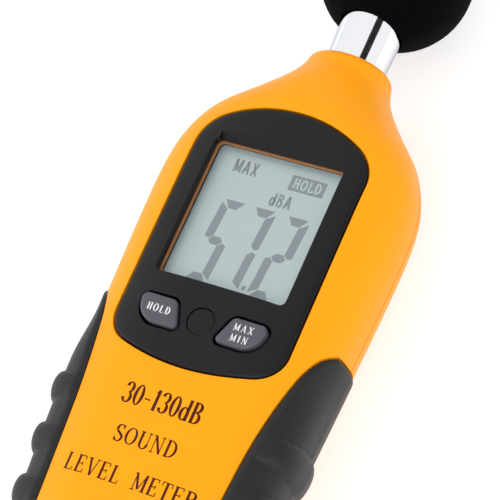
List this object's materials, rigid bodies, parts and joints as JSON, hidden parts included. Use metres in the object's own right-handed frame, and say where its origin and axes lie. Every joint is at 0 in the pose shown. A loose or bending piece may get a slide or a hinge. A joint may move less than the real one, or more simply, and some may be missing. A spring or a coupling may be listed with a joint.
{
  "type": "sound level meter",
  "caption": "Hand-held sound level meter: orange case with rubber grips, display bezel with keys, battery door, chrome microphone tube and foam windscreen.",
  "frame": {"origin": "under the centre of the bounding box, on the plane of the case's flat back, which the meter rests on", "axes": "+Z out of the display, +Y along the meter towards the microphone, +X to the right as the display is read"},
  "size_m": [0.0566, 0.1946, 0.0346],
  "materials": {
    "orange_abs": "injection-moulded ABS, fine satin texture",
    "grip_rubber": "overmoulded soft rubber, matt",
    "black_abs": "injection-moulded ABS, fine matt texture",
    "gasket": "thin tan foam-rubber gasket",
    "clear_window": "clear polished acrylic",
    "lcd_glass": "LCD glass with a grey-green polariser",
    "backlight_plate": "milky acrylic light guide",
    "zebra_rubber": "silicone with carbon layers",
    "key_rubber": "grey silicone keypad rubber, satin",
    "black_epoxy": "black moulded epoxy",
    "board_green": "fibreglass board with green solder mask",
    "trimmer_red": "red plastic",
    "steel": "zinc-plated steel",
    "chrome": "bright chrome plate",
    "nickel": "nickel-plated metal",
    "black_pvc": "PVC insulation",
    "foam": "open-cell polyurethane foam",
    "cell_jacket": "printed plastic jacket"
  },
  "bodies": {
    "meter": {"front_housing": "orange_abs", "rear_housing": "orange_abs", "grip_right": "grip_rubber", "grip_left": "grip_rubber", "bezel_panel": "black_abs", "window_gasket": "gasket", "display_window": "clear_window", "lcd_panel": "lcd_glass", "lcd_backlight": "backlight_plate", "display_frame": "black_abs", "zebra_strip": "zebra_rubber", "switch_hold": "black_epoxy", "switch_max_min": "black_epoxy", "switch_power": "black_epoxy", "main_board": "board_green", "controller_chip": "black_epoxy", "amplifier_chip": "black_epoxy", "timing_crystal": "steel", "filter_capacitor": "black_epoxy", "calibration_trimmer": "trimmer_red", "board_screw_1": "steel", "board_screw_2": "steel", "mic_sleeve": "chrome", "mic_grille": "chrome", "mic_capsule": "nickel", "capsule_holder": "grip_rubber", "tube_plug": "black_abs", "mic_lead": "black_pvc", "battery_tray": "black_abs", "battery_1": "cell_jacket", "battery_spring_1": "nickel", "battery_2": "cell_jacket", "battery_spring_2": "nickel", "battery_3": "cell_jacket", "battery_spring_3": "nickel", "contact_top_single": "nickel", "contact_top_link": "nickel", "contact_bottom_link": "nickel", "contact_bottom_single": "nickel", "battery_lead_red": "trimmer_red", "battery_lead_black": "black_pvc", "case_screw_1": "steel", "case_screw_2": "steel", "case_screw_3": "steel", "case_screw_4": "steel"},
    "hold_key": {"key_hold": "key_rubber"},
    "max_min_key": {"key_max_min": "key_rubber"},
    "power_key": {"key_power": "black_abs"},
    "foam_windscreen": {"windscreen": "foam"},
    "door": {"battery_door": "orange_abs", "door_pad": "foam"}
  },
  "joints": [
    {"name": "hold_key_press", "type": "slide", "parent": "meter", "child": "hold_key", "axis": [0, 0, -1], "range_m": [0, 0.0006], "stiffness_N_per_m": 400},
    {"name": "max_min_key_press", "type": "slide", "parent": "meter", "child": "max_min_key", "axis": [0, 0, -1], "range_m": [0, 0.0006], "stiffness_N_per_m": 400},
    {"name": "power_key_press", "type": "slide", "parent": "meter", "child": "power_key", "axis": [0, 0, -1], "range_m": [0, 0.0006], "stiffness_N_per_m": 400},
    {"name": "windscreen_pull", "type": "slide", "parent": "meter", "child": "foam_windscreen", "axis": [0, 1, 0], "range_m": [0, 0.024]},
    {"name": "battery_door_swing", "type": "hinge", "parent": "meter", "child": "door", "pos_m": [0, -0.08209, 0.0011], "axis": [-1, 0, 0], "range_deg": [0, 60]}
  ]
}
